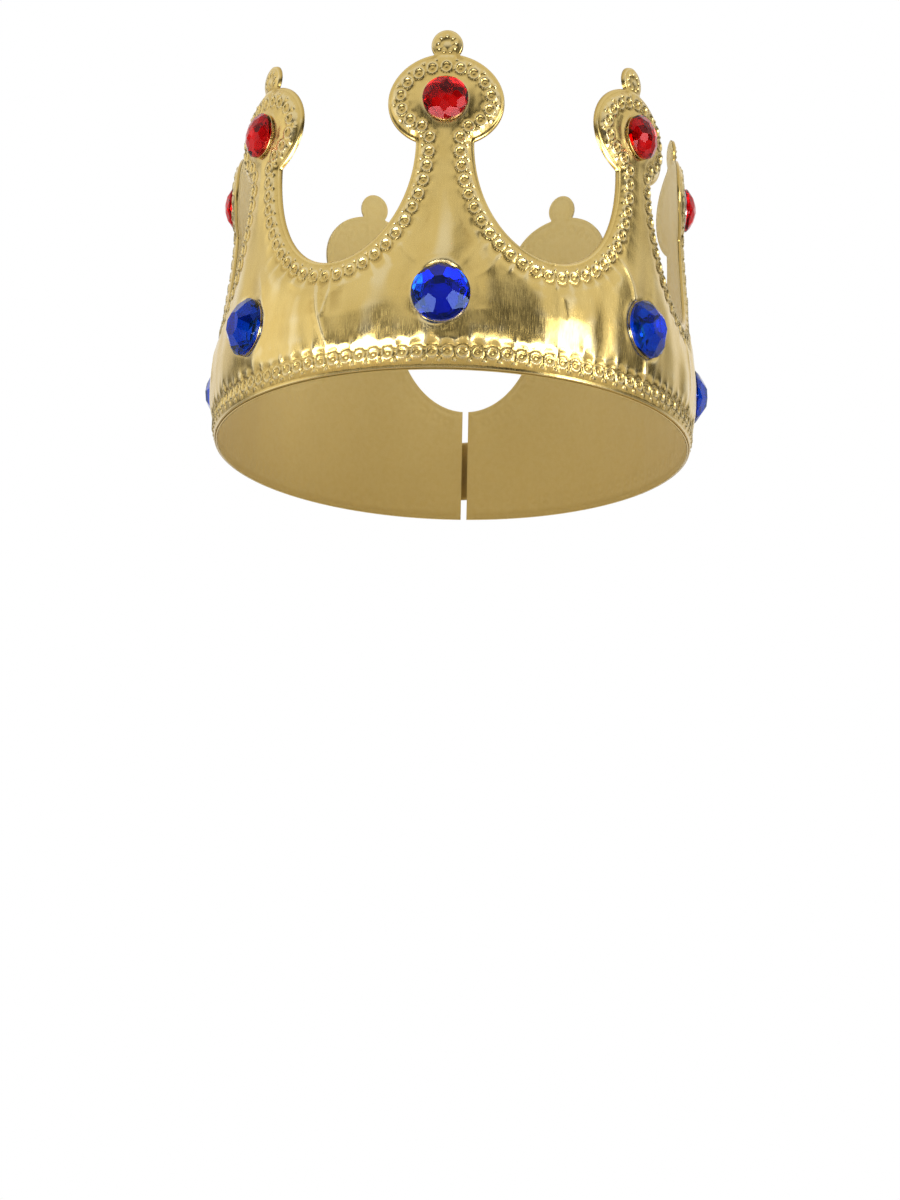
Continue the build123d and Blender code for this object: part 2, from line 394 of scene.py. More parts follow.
UPPER_PANEL = Profile(  # the same on the spikes, where the padding is shallow
    ((0, -0.85), (2.15, -0.85), (2.6, -0.7), (3.3, -0.58), (4.3, -0.5), (5.5, -0.45))
    + ((8.0, -0.41), (12.0, -0.4)),
    0.4,
    2.0,
)
SPIKE_BORDER_RISE = 0.5  # how much higher the border lies on the spikes than by the rim
SPIKE_FOOT = (34, 54)  # heights over which the band's relief becomes the spikes'
PUCKERS_END = (36, 48)  # heights over which the puckers die out
FOLD_WAVES = 16


def fold_waves():
    """Seeded soft folds of the foil: mostly upright, of many widths."""
    rng = random.Random(7)
    waves = []
    for _ in range(FOLD_WAVES):
        width = rng.uniform(7, 30)
        height = rng.uniform(35, 140) * rng.choice((-1, 1))
        waves.append((math.tau / width, math.tau / height, rng.uniform(0, math.tau), 0.012 * width**0.6))
    return waves


WAVES = fold_waves()


def folds(along, height):
    """Height of the soft folds at places on the strip."""
    total = np.zeros_like(along)
    for across, up, phase, size in WAVES:
        total += size * np.sin(across * along + up * height + phase)
    return total


def varied(along, height, low, high, phase=0.0):
    """A value between low and high that changes from ring to ring."""
    wave = 0.5 + 0.5 * np.sin(12.99 * along + 78.23 * height + phase)
    return low + (high - low) * wave


class Crease:
    """A thin fold in the foil along a smooth curve through a few points of the strip."""

    def __init__(self, points, height, width):
        self.curve = self.through(np.array(points, float))
        self.height = height
        self.width = width

    @staticmethod
    def through(points, steps=12):
        """Catmull-Rom curve through the points."""
        ends = np.concatenate([[2 * points[0] - points[1]], points, [2 * points[-1] - points[-2]]])
        t = np.linspace(0, 1, steps, endpoint=False)[:, None]
        pieces = []
        for a, b, c, d in zip(ends[:-3], ends[1:-2], ends[2:-1], ends[3:]):
            square, cube = 2 * a - 5 * b + 4 * c - d, 3 * b - a - 3 * c + d
            pieces.append(0.5 * (2 * b + (c - a) * t + square * t**2 + cube * t**3))
        return resample(np.concatenate([*pieces, points[-1:]]), 0.45)

    def rows(self):
        """Points on the crease and on both sides of it."""
        across = leftward(self.curve) * self.width
        return np.concatenate([self.curve + across * k for k in (0, -0.6, 0.6, -1.3, 1.3)])

    def relief(self, points):
        """Height of the crease at points of the strip."""
        margin = 3 * self.width
        low, high = self.curve.min(0) - margin, self.curve.max(0) + margin
        close = ((points > low) & (points < high)).all(1)
        height = np.zeros(len(points))
        if close.any():
            near, index = nearest(points[close], self.curve)
            share = index[:, 0] / (len(self.curve) - 1)
            taper = smooth(share, 0, 0.25) * smooth(1 - share, 0, 0.25)
            height[close] = self.height * taper * np.exp(-((near[:, 0] / self.width) ** 2))
        return height


CREASES = [  # points along each, height and width
    Crease(*crease)
    for crease in (
        ([(-42.5, 33.5), (-40.5, 22), (-38, 13), (-36, 7.5)], 0.5, 0.7),
        ([(-36.5, 29), (-38, 23), (-39.3, 18)], 0.4, 0.6),
        ([(62, 45), (67, 38), (68.5, 31), (68.5, 24)], 0.36, 0.8),
        ([(72.5, 18), (74.5, 11), (72, 4)], 0.3, 0.8),
        ([(39.2, 26), (39.6, 22), (40.2, 18)], -0.24, 0.5),
        ([(-14.5, 42), (-11, 37), (-6.5, 32.5)], 0.09, 0.6),
        ([(12.5, 42), (8.5, 36), (5, 31.5)], 0.1, 0.6),
        ([(19, 36), (14.5, 31.5), (8.5, 28)], 0.07, 0.7),
        ([(20, 17), (15, 18.5), (9.5, 18)], 0.06, 0.7),
        ([(-70, 41), (-66, 30), (-66.5, 18)], 0.24, 0.8),
        ([(112, 33), (110, 22), (113, 10)], 0.28, 0.8),
        ([(-115, 31), (-111, 21), (-112, 12)], 0.26, 0.7),
        ([(142, 42), (146, 33), (147, 26)], 0.24, 0.7),
        ([(-151, 44), (-146, 36), (-147, 28)], 0.26, 0.8),
        ([(187, 34), (185, 22), (188, 11)], 0.3, 0.8),
        ([(-184, 33), (-187, 20), (-185, 9)], 0.26, 0.7),
    )
]


def stone_dish(along, height, offset, centre, stone_height, radius):
    """Presses the foil flat under a stone and lets it bulge round the stone's edge."""
    width, depth, bulging = DISH[radius]
    distance = np.hypot(along - centre, height - stone_height)
    near = distance < radius + 9
    middle = on_wall(centre, stone_height, GLUE)
    outward = wall_out(centre)
    base = on_wall(along[near], height[near], 0)
    rise = ((middle - base) @ outward) / (wall_out(along[near]) @ outward) / MM
    far = distance[near]
    rise = np.minimum(rise, rise[far < radius].max())
    around = np.arctan2(height[near] - stone_height, along[near] - centre)
    bulge = 0.09 + 0.05 * np.sin(3 * around + centre) + 0.04 * np.sin(8 * around + 2 * centre)
    bulge *= bulging * np.exp(-(((far - radius - 1.5) / 1.0) ** 2))
    weight = 1 - smooth(far, radius + 0.1, radius + width)
    seat = rise - GLUE - (depth - GLUE) * smooth(far, radius - 2.5, radius - 0.6)
    offset[near] = offset[near] * (1 - weight) + seat * weight + bulge
    return offset


def puckers(spike, rings, row_of, near, index, beyond):
    """Short folds that run into the panel from between neighbouring rings."""
    first, second = index.T
    together = (row_of[first] == row_of[second]) & (abs(first - second) == 1)
    middle = (rings[first] + rings[second]) / 2
    where = (middle[:, 0] + spike * PITCH, middle[:, 1])
    low_down = 1 - smooth(middle[:, 1], *PUCKERS_END)
    reach = varied(*where, 2.4, 4.0 + 4.0 * low_down, 1.0)
    size = varied(*where, 0.0, 0.42, 2.5) * (0.05 + 0.95 * low_down)
    apart = near[:, 1] - near[:, 0]
    fade = smooth(beyond, 0.2, 1.4) * (1 - smooth(beyond, reach * 0.35, reach))
    return np.where(together, size * fade * (np.exp(-((apart / 0.6) ** 2)) - 0.2), 0)


def ball_offset(points, base, beads):
    """The ball on top of a spike: a ring of beads round a low dome."""
    ball = np.minimum(base, -1.65) + DOT(nearest(points, beads)[0][:, 0]) * 1.1
    x, y = points.T
    from_middle = np.hypot(x / BALL_HALF_WIDTH, (y - BALL_HEIGHT) / BALL_HALF_HEIGHT)
    return ball + 0.35 * (1 - smooth(from_middle, 0.25, 0.4))


def under_tab(along, height):
    """1 where the closing tab and the loop tape lie on the foil, 0 further away."""
    place = np.mod(along, PERIMETER)
    reach = np.where(place < BACK, -ANCHOR_START, TAB_END)
    beside = 1 - smooth(np.abs(place - BACK), reach + 1.5, reach + 6)
    return beside * smooth(height, 6.8, 8.2) * (1 - smooth(height, 28.5, 31))


def foil_offset(points, spike, rows, dots, edge, beads):
    """Offset of the foil from the wall's outer face at points of a spike's pattern."""
    along = points[:, 0] + spike * PITCH
    height = points[:, 1]
    from_edge = nearest(points, edge)[0][:, 0]
    on_spike = smooth(height, *SPIKE_FOOT)
    base = BORDER(from_edge) + SPIKE_BORDER_RISE * on_spike * smooth(from_edge, 0.3, 2.5)
    rings = np.concatenate(rows)
    row_of = np.concatenate([np.full(len(row), k) for k, row in enumerate(rows)])
    near, index = nearest(points, rings)
    from_ring, ring = near[:, 0], index[:, 0]
    lift = varied(rings[ring, 0] + spike * PITCH, rings[ring, 1], 0.8, 1.15)
    offset = base + RING(from_ring) * lift + DOT(nearest(points, dots)[0][:, 0])

    beyond = from_edge - np.where(row_of[ring] == 1, RIM_RING_ROW, RING_ROW)
    panel = PANEL(from_ring) * (1 - on_spike) + UPPER_PANEL(from_ring) * on_spike
    panel += folds(along, height) * smooth(from_ring, 3, 7) * (1 - 0.5 * on_spike)
    panel += puckers(spike, rings, row_of, near, index, beyond)
    for crease in CREASES:
        panel += crease.relief(np.stack([along, height], -1)) * smooth(from_ring, 2.4, 4)
    on_panel = smooth(beyond, -0.2, 0.9) * smooth(from_ring, 2.1, 2.3)
    offset = offset * (1 - on_panel) + panel * on_panel

    in_ball = smooth(height, BALL_HEIGHT - 4.2, BALL_HEIGHT - 3.0)
    offset = offset * (1 - in_ball) + ball_offset(points, base, beads) * in_ball
    for stone_height, radius in STONES:
        offset = stone_dish(along, height, offset, spike * PITCH, stone_height, radius)
    covered = under_tab(along, height)
    return offset * (1 - covered) + np.minimum(offset, -0.1) * covered


def triangulate(outline, loose):
    """Triangles over the area inside a closed outline, through all the points."""
    points = np.concatenate([outline, loose])
    count = len(outline)
    edges = [(k, (k + 1) % count) for k in range(count)]
    made = delaunay_2d_cdt([Vector(p) for p in points.tolist()], edges, [], 1, 1e-6)
    used, triangles = np.unique(np.array(made[2]), return_inverse=True)
    return np.array([tuple(v) for v in made[0]])[used], triangles.reshape(-1, 3)


def ball_beads():
    """Centres of the ring of beads on a spike's ball."""
    angle = np.radians(np.arange(-110, 251, 40))
    ring = np.stack([np.cos(angle) * 3.0, np.sin(angle) * 2.7], -1)
    return ring + [0, BALL_HEIGHT]


RING_CIRCLES = (0.35, 0.7, 1.25, 1.55, 1.85, 2.15, 2.45)  # radii of the mesh's circles round a ring
RING_CIRCLE_POINTS = (5, 8, 11, 13, 14, 15, 15)


def foil_spike(spike):
    """Front face of one spike of the foil: along, height, offset and triangles."""
    outline, edges, free = spike_pattern(spike)
    rows = spike_rings(spike)
    dots = np.concatenate([ring_dots(row, free) for row in rows])
    beads = ball_beads()

    scatter = Scatter(outline)
    scatter.add(inset_rows(outline, (0.25,)), 0.2)
    for edge in edges:
        scatter.add(inset_rows(edge, (0.7, 1.15, 1.55)), 0.3)
    rings = np.concatenate(rows)
    scatter.add(circles(rings, RING_CIRCLES, RING_CIRCLE_POINTS), 0.3)
    scatter.add(circles(np.concatenate([dots, beads]), (0.35, 0.65), (6, 8)), 0.25)
    for crease in CREASES:
        scatter.add(crease.rows() - [spike * PITCH, 0], 0.38)
    border = even_grid(0.7)
    reach = nearest(border, rings)[0][:, 0]
    scatter.add(border[reach < 6.5], 0.55)
    for height, radius in STONES:
        reach = np.arange(radius - 1, radius + 4, 0.55)
        scatter.add(circles(np.array([[0, height]]), reach, [round(9 * radius)] * len(reach)), 0.5)
    scatter.add(even_grid(1.15), 0.9)

    flat, triangles = scatter.triangulated()
    offset = foil_offset(flat, spike, rows, dots, free, beads)
    return flat[:, 0] + spike * PITCH, flat[:, 1], offset, triangles


def plain_spike(spike):
    """Plain back of one spike of the foil: along, height, offset and triangles."""
    scatter = Scatter(spike_pattern(spike)[0])
    scatter.add(even_grid(4), 2.8)
    flat, triangles = scatter.triangulated()
    return flat[:, 0] + spike * PITCH, flat[:, 1], np.full(len(flat), LINING_OUTER), triangles


# depths pressed into the lining along its edge, and by the rings on its other side
SEAL = Profile(((0, 0.5), (0.15, 0.16), (0.9, 0.1), (1.3, 0.3), (1.7, 0.04), (2.4, 0.0)), 0.1)
PRINT = Profile(((0, 0.08), (0.7, 0.04), (1.4, 0.2), (2.0, 0.04), (2.8, 0.0)), 0.3)


def lining_spike(spike):
    """Inner face of one spike of the lining, pressed at its edge, with the rings showing through."""
    outline, edges, free = spike_pattern(spike, 0.8)
    rings = np.concatenate(spike_rings(spike))
    scatter = Scatter(outline)
    for edge in edges:
        scatter.add(inset_rows(edge, (0.3, 0.9, 1.3, 1.75)), 0.35)
    scatter.add(circles(rings, (0.7, 1.4, 2.1), (6, 9, 11)), 0.5)
    scatter.add(even_grid(1.6), 1.1)
    flat, triangles = scatter.triangulated()
    along, height = flat[:, 0] + spike * PITCH, flat[:, 1]
    from_edge = nearest(flat, free)[0][:, 0]
    from_ring = nearest(flat, rings)[0][:, 0]
    depth = SEAL(from_edge) + PRINT(from_ring) * smooth(from_edge, 1.8, 2.6)
    depth -= 0.5 * folds(along, height) * smooth(from_edge, 6, 11)
    return along, height, LINING_INNER + np.clip(depth, -0.2, 0.5), triangles


def joined(face_of):
    """A face of the whole strip from one for each spike, with the points at the seams made one."""
    pieces = [face_of(spike) for spike in range(-LAST_SPIKE, LAST_SPIKE + 1)]
    columns = [np.concatenate([piece[k] for piece in pieces]) for k in range(3)]
    starts = np.cumsum([0] + [len(piece[0]) for piece in pieces[:-1]])
    triangles = np.concatenate([piece[3] + start for piece, start in zip(pieces, starts)])
    keys = np.round(np.stack(columns[:2], -1), 3)
    _, first, index = np.unique(keys, axis=0, return_index=True, return_inverse=True)
    return *(column[first] for column in columns), index.reshape(-1)[triangles]


def welded(points, faces):
    """The mesh again, with points in the same place made one."""
    keys = np.round(points / 2e-6)
    _, first, index = np.unique(keys, axis=0, return_index=True, return_inverse=True)
    return points[first], index.reshape(-1)[faces], first


def new_object(name, points, faces):
    """A smooth-shaded mesh object from points in metres and faces."""
    mesh = bpy.data.meshes.new(name)
    mesh.from_pydata(points.tolist(), [], faces.tolist(), shade_flat=False)
    mesh.validate()
    made = bpy.data.objects.new(name, mesh)
    bpy.context.collection.objects.link(made)
    return made


def closed_sheet(name, front, back):
    """One closed mesh from two faces of the strip with the same outline, each of them along,
    height, offset and triangles. It keeps each point's place on the strip, in metres."""
    along, height, offset = (np.concatenate([front[k], back[k]]) for k in range(3))
    faces = np.concatenate([front[3], back[3][:, ::-1] + len(front[0])])
    points, faces, kept = welded(on_wall(along, height, offset), faces)
    made = new_object(name, points, faces)
    place = made.data.attributes.new("strip", "FLOAT_VECTOR", "POINT")
    strip = np.stack([along, height, offset], -1)[kept] * MM
    place.data.foreach_set("vector", strip.astype(np.float32).ravel())
    store_cavity(made, offset[kept])
    return made


def store_cavity(made, offset, rounds=7):
    """Keeps how deep each point lies below its surroundings, in millimetres, for the materials. The
    foil's material uses it to paint shade into the hollows and highlights onto the crests.
    """
    mesh = made.data
    ends = np.zeros(len(mesh.edges) * 2, np.int32)
    mesh.edges.foreach_get("vertices", ends)
    first, second = ends.reshape(-1, 2).T
    here, there = np.concatenate([first, second]), np.concatenate([second, first])
    count = np.maximum(np.bincount(here, minlength=len(offset)), 1)
    around = offset
    for _ in range(rounds):
        around = np.bincount(here, around[there], len(offset)) / count
    cavity = mesh.attributes.new("cavity", "FLOAT", "POINT")
    cavity.data.foreach_set("value", (around - offset).astype(np.float32))


def lining_sheet():
    """The thin cloth on the inside."""
    along, height, _, triangles = inner = joined(lining_spike)
    outer = (along, height, np.full_like(along, LINING_OUTER), triangles)
    return closed_sheet("lining_cloth", outer, inner)


# ---- closing tab
def rounded_outline(left, right, tall, left_corner, right_corner, step=0.5):
    """Closed outline of a rectangle at the closure whose corners have a radius on each side."""
    low, high = CLOSURE_HEIGHT - tall / 2, CLOSURE_HEIGHT + tall / 2
    corners = (
        (left + left_corner, low + left_corner, left_corner, 180),
        (right - right_corner, low + right_corner, right_corner, 270),
        (right - right_corner, high - right_corner, right_corner, 0),
        (left + left_corner, high - left_corner, left_corner, 90),
    )
    arcs = [ellipse_arc((x, y), (r, r), start, start + 90, 24) for x, y, r, start in corners]
    loop = np.concatenate([*arcs, arcs[0][:1]])
    return resample(loop, step)[:-1]


def rounded_cloth(name, outline, thick, middle, dimples=None, step=0.6):
    """A patch of cloth with soft edges, whose middle lies at an offset found from its place."""
    low, high = outline.min(0), outline.max(0)
    grid = np.meshgrid(np.arange(low[0], high[0], step), np.arange(low[1], high[1], step))
    grid = np.stack(grid, -1).reshape(-1, 2)
    flat, triangles = triangulate(outline, grid[nearest(grid, outline)[0][:, 0] > step * 0.6])
    along, height = flat.T
    edge = np.clip(nearest(flat, outline)[0][:, 0] / (thick * 0.6), 0, 1)
    half = thick / 2 * np.sqrt(1 - (1 - edge) ** 2)
    centre = middle(along)
    pressed = dimples(along, height) if dimples else 0
    front = (along + BACK, height, centre + half - pressed, triangles)
    back = (along + BACK, height, centre - half, triangles)
    return closed_sheet(name, front, back)


def tab_middle(along):
    """Middle of the tab's cloth: flat on the band where it is sewn, then up over the tapes."""
    sewn = TAB_THICK / 2 + CLOTH_GAP
    raised = HOOK_OUTER + TAB_THICK / 2
    return sewn + (raised - sewn) * smooth(along, *TAB_RISE)


def tab_top(along):
    return tab_middle(along) + TAB_THICK / 2


def level(offset):
    """A surface that has the same offset all over."""
    return lambda along: np.full_like(along, offset)


def seam_path(start, end, tall):
    """Closed line of stitches round a patch."""
    return rounded_outline(start, end, tall, SEAM_CORNER, SEAM_CORNER, 0.1)


def seam_dimples(path):
    """How far a seam pulls the cloth down at points of a patch."""

    def pressed(along, height):
        near, _ = nearest(np.stack([along, height], -1), path)
        return 0.22 * np.exp(-((near[:, 0] / 0.55) ** 2))

    return pressed


def tube(line, radii, sides=6):
    """Tube of changing radius round a line of points, open at its ends."""
    line = np.asarray(line, float)
    ahead = np.gradient(line, axis=0)
    ahead /= np.linalg.norm(ahead, axis=1, keepdims=True)
    helper = UP if abs(ahead[0][2]) < 0.8 else np.array([1, 0, 0])
    across = np.cross(ahead, helper)
    across /= np.linalg.norm(across, axis=1, keepdims=True)
    up = np.cross(across, ahead)
    turn = np.arange(sides) * math.tau / sides
    ring = np.cos(turn)[None, :, None] * across[:, None] + np.sin(turn)[None, :, None] * up[:, None]
    points = (line[:, None] + ring * np.asarray(radii)[:, None, None]).reshape(-1, 3)
    faces = []
    for start in range(0, (len(line) - 1) * sides, sides):
        for j in range(sides):
            a, b = start + j, start + (j + 1) % sides
            faces += [(a, b, b + sides), (a, b + sides, a + sides)]
    return points, np.array(faces)


def gathered(parts):
    """Many small meshes as one."""
    starts = np.cumsum([0] + [len(points) for points, _ in parts[:-1]])
    faces = np.concatenate([faces + start for (_, faces), start in zip(parts, starts)])
    return np.concatenate([points for points, _ in parts]), faces


def stitches(name, path, offset, length=2.1, gap=0.75, radius=0.2):
    """Thread along a seam: each stitch rises from its hole, lies flat and goes down again."""
    loop = np.concatenate([path, path[:1]])
    total = length_along(loop)[-1]
    count = round(total / (length + gap))
    pitch = total / count
    shape = np.linspace(0, 1, 7)
    rise = np.sin(np.pi * shape) ** 0.5
    parts = []
    for k in range(count):
        spots = at_lengths(loop, k * pitch + gap / 2 + shape * (pitch - gap))
        height = offset(spots[:, 0]) - 0.28 + 0.3 * rise
        line = on_wall(spots[:, 0] + BACK, spots[:, 1], height)
        parts.append(tube(line, (0.25 + 0.75 * rise) * radius * MM))
    return new_object(name, *gathered(parts))


def tape_field(name, path_of, radius, step, rng):
    """Rows of hooks or loops over a tape."""
    low, high = CLOSURE_HEIGHT - TAPE_TALL / 2, CLOSURE_HEIGHT + TAPE_TALL / 2
    parts = []
    for along in np.arange(TAPE_START + 1.2, TAPE_END - 1, step):
        for height in np.arange(low + 1.2, high - 1, step):
            line = path_of(along + rng.uniform(-0.2, 0.2), height + rng.uniform(-0.2, 0.2), rng)
            parts.append(tube(line, np.full(len(line), radius * MM), 5))
    return new_object(name, *gathered(parts))


def hook_line(along, height, rng):
    """One hook of the hook tape: up from the tape towards the band, and bent over."""
    side = rng.choice((-1, 1))
    turn = np.radians(np.linspace(0, 200, 7))
    rise = np.concatenate([[0, 0.15], 0.2 + 0.2 * np.sin(turn)])
    reach = np.concatenate([[0, 0], 0.22 * (1 - np.cos(turn))]) * side
    return on_wall(along + BACK + reach * 0.3, height + reach, HOOK_INNER + 0.08 - rise)


def loop_line(along, height, rng):
    """One loop of the loop tape's pile."""
    turn = np.radians(np.linspace(0, 180, 7))
    heading = rng.uniform(0, math.pi)
    reach = 0.42 * np.cos(turn)
    rise = 0.5 * np.sin(turn)
    spot = along + BACK + reach * math.cos(heading), height + reach * math.sin(heading)
    return on_wall(*spot, 0.62 + rise)


# ---- materials
class Nodes:
    """The node tree of a material or the world, with short ways to add nodes and link them."""

    def __init__(self, owner, shader="Principled BSDF"):
        owner.use_nodes = True
        self.owner = owner
        self.tree = owner.node_tree
        self.inputs = self.tree.nodes[shader].inputs
        self.normal = None

    def add(self, kind, **settings):
        """A new node. Each setting is the value of a property of the node, or of a socket."""
        node = self.tree.nodes.new("ShaderNode" + kind)
        for key, value in settings.items():
            if hasattr(node, key):
                setattr(node, key, value)
            else:
                node.inputs[key.replace("_", " ")].default_value = value
        return node

    def link(self, value, socket):
        self.tree.links.new(value, socket)

    def drive(self, name, value):
        """Links a value to a socket of the shader."""
        self.link(value, self.inputs[name])

    def place(self, space, scale):
        """Place on the strip (x along it, y up it) or in the object's own space, scaled."""
        if space == "strip":
            found = self.add("Attribute", attribute_name="strip").outputs["Vector"]
        else:
            found = self.add("TexCoord").outputs["Object"]
        mapping = self.add("Mapping", Scale=scale if isinstance(scale, tuple) else (scale,) * 3)
        self.link(found, mapping.inputs["Vector"])
        return mapping.outputs["Vector"]

    def noise(self, space, scale, detail=2.0, roughness=0.5):
        made = self.add("TexNoise", Scale=1.0, Detail=detail, Roughness=roughness)
        self.link(self.place(space, scale), made.inputs["Vector"])
        return made.outputs["Fac"]

    def ramp(self, value, low, high, to_low=0, to_high=1):
        """Maps a range of a value to another one, smoothly."""
        limits = {"From_Min": low, "From_Max": high, "To_Min": to_low, "To_Max": to_high}
        made = self.add("MapRange", interpolation_type="SMOOTHSTEP", **limits)
        self.link(value, made.inputs["Value"])
        return made.outputs["Result"]

    def mixed(self, factor, first, second):
        """Mix of two colours, each a colour or a socket."""
        made = self.add("Mix", data_type="RGBA")
        self.link(factor, made.inputs[0])
        for socket, colour in ((made.inputs[6], first), (made.inputs[7], second)):
            if isinstance(colour, tuple):
                socket.default_value = (*colour, 1)
            else:
                self.link(colour, socket)
        return made.outputs[2]

    def faded(self, factor, value, number):
        """The value where the factor is 0, and the number where it is 1."""
        made = self.add("Mix", B=number)
        self.link(factor, made.inputs["Factor"])
        self.link(value, made.inputs["A"])
        return made.outputs["Result"]

    def bump(self, height, distance, strength):
        """Adds a bump on top of the ones before it."""
        made = self.add("Bump", Strength=strength, Distance=distance)
        self.link(height, made.inputs["Height"])
        if self.normal:
            self.link(self.normal, made.inputs["Normal"])
        self.normal = made.outputs["Normal"]
        self.drive("Normal", self.normal)


def new_material(name, base, **settings):
    """A Principled material with some of its sockets set."""
    surface = Nodes(bpy.data.materials.new(name))
    surface.inputs["Base Color"].default_value = (*base, 1)
    for socket, value in settings.items():
        surface.inputs[socket.replace("_", " ")].default_value = value
    return surface


def foil_material():
    """Gold foil laminate: satin and faintly streaked up the wall, with painted shade in its pressed
    grooves and a painted highlight on the crests of its relief.
    """
    foil = new_material("gold_foil", (0.83, 0.615, 0.24), Metallic=1.0)
    patches = foil.noise("strip", (90, 60, 0), 4, 0.6)
    streaks = foil.noise("strip", (2600, 260, 0), 3, 0.6)
    cavity = foil.add("Attribute", attribute_name="cavity").outputs["Fac"]
    tone = foil.mixed(foil.ramp(patches, 0.3, 0.7), (0.80, 0.575, 0.185), (0.85, 0.63, 0.225))
    # painted shade: the foil's colour goes darker and browner in the hollows of its relief
    tone = foil.mixed(foil.ramp(cavity, 0.03, 0.2, 0, 0.45), tone, (0.42, 0.26, 0.06))
    # painted highlight: the crests of the relief are painted paler
    tone = foil.mixed(foil.ramp(cavity, -0.18, -0.03, 0.5, 0), tone, (0.97, 0.83, 0.5))
    foil.drive("Base Color", tone)
    foil.drive("Roughness", foil.ramp(streaks, 0.25, 0.8, 0.17, 0.31))
    foil.bump(foil.noise("object", (520, 520, 380)), 0.0001, 0.3)
    foil.bump(streaks, 0.00003, 0.24)
    foil.bump(foil.noise("object", 2200), 0.00002, 0.25)
    return foil.owner


def cloth_material(name, dark, light, pitch, metallic=0.0, roughness=0.6):
    """Woven cloth: threads across and up, slightly uneven, with darker gaps."""
    cloth = new_material(name, dark, Metallic=metallic, Roughness=roughness, Sheen_Weight=0.3)
    place = cloth.place("strip", 1 / (pitch * MM))
    crossing = cloth.add("Math", operation="MULTIPLY")
    for socket, way in zip(crossing.inputs, "XY"):
        threads = cloth.add("TexWave", Scale=0.5, Distortion=0.6, Detail=1.0, bands_direction=way)
        cloth.link(place, threads.inputs["Vector"])
        cloth.link(threads.outputs["Fac"], socket)
    weave = crossing.outputs[0]
    uneven = cloth.noise("strip", 700, 3)
    tone = cloth.mixed(cloth.ramp(weave, 0, 0.6), dark, light)
    cloth.drive("Base Color", cloth.mixed(cloth.ramp(uneven, 0.2, 0.9, 0, 0.45), tone, dark))
    cloth.drive("Roughness", cloth.ramp(uneven, 0.2, 0.8, roughness - 0.1, roughness + 0.1))
    cloth.bump(weave, 0.00012, 0.5)
    return cloth.owner


def acrylic_material(name, colour, deep, sheen):
    """Clear tinted acrylic, with faint flow marks and polish marks on its facets."""
    stone = new_material(name, colour, Transmission_Weight=1.0, IOR=1.49, Specular_Tint=(*sheen, 1))
    flow = stone.ramp(stone.noise("object", 220), 0.3, 0.7)
    stone.drive("Base Color", stone.mixed(flow, colour, deep))
    stone.drive("Roughness", stone.ramp(stone.noise("object", 900, 3), 0.4, 0.9, 0.0, 0.006))
    return stone.owner


def mirror_material():
    """Mirror film with fine marks."""
    film = new_material("mirror_backing", (0.9, 0.9, 0.92), Metallic=1.0)
    film.drive("Roughness", film.ramp(film.noise("object", 600, 3), 0.3, 0.8, 0.02, 0.06))
    return film.owner


def glue_material():
    """Clear hot-melt glue, slightly cloudy."""
    glue = new_material("glue", (0.86, 0.84, 0.78), Transmission_Weight=0.5, IOR=1.48)
    glue.drive("Roughness", glue.ramp(glue.noise("object", 500, 3), 0.3, 0.8, 0.25, 0.5))
    return glue.owner


def thread_material(name, dark, light):
    """Twisted thread."""
    thread = new_material(name, light, Roughness=0.45, Sheen_Weight=0.3)
    ply = thread.add("TexWave", Scale=1.0, Distortion=2.0, bands_direction="DIAGONAL")
    thread.link(thread.place("object", 900), ply.inputs["Vector"])
    thread.drive("Base Color", thread.mixed(ply.outputs["Fac"], dark, light))
    thread.bump(ply.outputs["Fac"], 0.00004, 0.5)
    return thread.owner


# ---- studio
CAMERA_TURN = (-2.88068, -14.2366, 1.22762)  # yaw, pitch and roll, in degrees
CROWN_SEEN = (0.0006737, 1.46, 0.048157)  # the crown's origin, right, ahead and up from the camera
CAMERA_LENS = 137.74
HORIZON = (0.18, 0.41)  # sines of the elevations between which the room goes from dark to light
HORIZON_LIGHT = 0.05
BASE_LIGHT = 0.76
FLOOR_EDGE = (-0.3, -0.05)  # the same for the floor's light from below
FLOOR_LIGHT = 0.9
WORLD_PATCHES = (  # azimuth, elevation, inner and outer radius in degrees, brightness
    (-92, 8, 12, 28, 1.0),
    (39, 15, 6, 24, 0.02),
    (86, 12, 5, 13, 0.8),
    (98, 21, 5, 11, 0.1),
    (142, 16, 10, 26, 0.3),
    (180, 20, 20, 60, 0.9),
)
KEY_PLACE = (64, 7.5)  # azimuth and elevation of the key softbox
KEY_DISTANCE = 1.5
KEY_SIZE = (0.47, 0.46)
KEY_RADIANCE = 6
CARDS = {"left_card": (-0.125, -0.018), "right_card": (0.036, 0.16)}  # white cards before the crown
CARD_PLACE = (-0.1755, 0.002)
CARD_DEPTH = 0.171
CARD_RADIANCE = 8


def direction(azimuth, elevation):
    """Unit vector towards a place in the studio: azimuth 0 is in front, + to the right."""
    a, e = math.radians(azimuth), math.radians(elevation)
    return Vector((math.sin(a) * math.cos(e), -math.cos(a) * math.cos(e), math.sin(e)))


def add_camera():
    """Camera at the photograph's viewing angle, low in front of the crown."""
    yaw, pitch, roll = (math.radians(angle) for angle in CAMERA_TURN)
    turn = Matrix.Rotation(roll, 3, "Y") @ Matrix.Rotation(pitch, 3, "X") @ Matrix.Rotation(yaw, 3, "Z")
    right, forward, up = turn
    axes = Matrix((right, up, -forward)).transposed().to_4x4()
    camera = bpy.data.objects.new("camera", bpy.data.cameras.new("camera"))
    bpy.context.collection.objects.link(camera)
    camera.matrix_world = Matrix.Translation(-(turn.transposed() @ Vector(CROWN_SEEN))) @ axes
    camera.data.sensor_width = 36
    camera.data.lens = CAMERA_LENS
    camera.data.clip_start, camera.data.clip_end = 0.05, 20
    bpy.context.scene.camera = camera


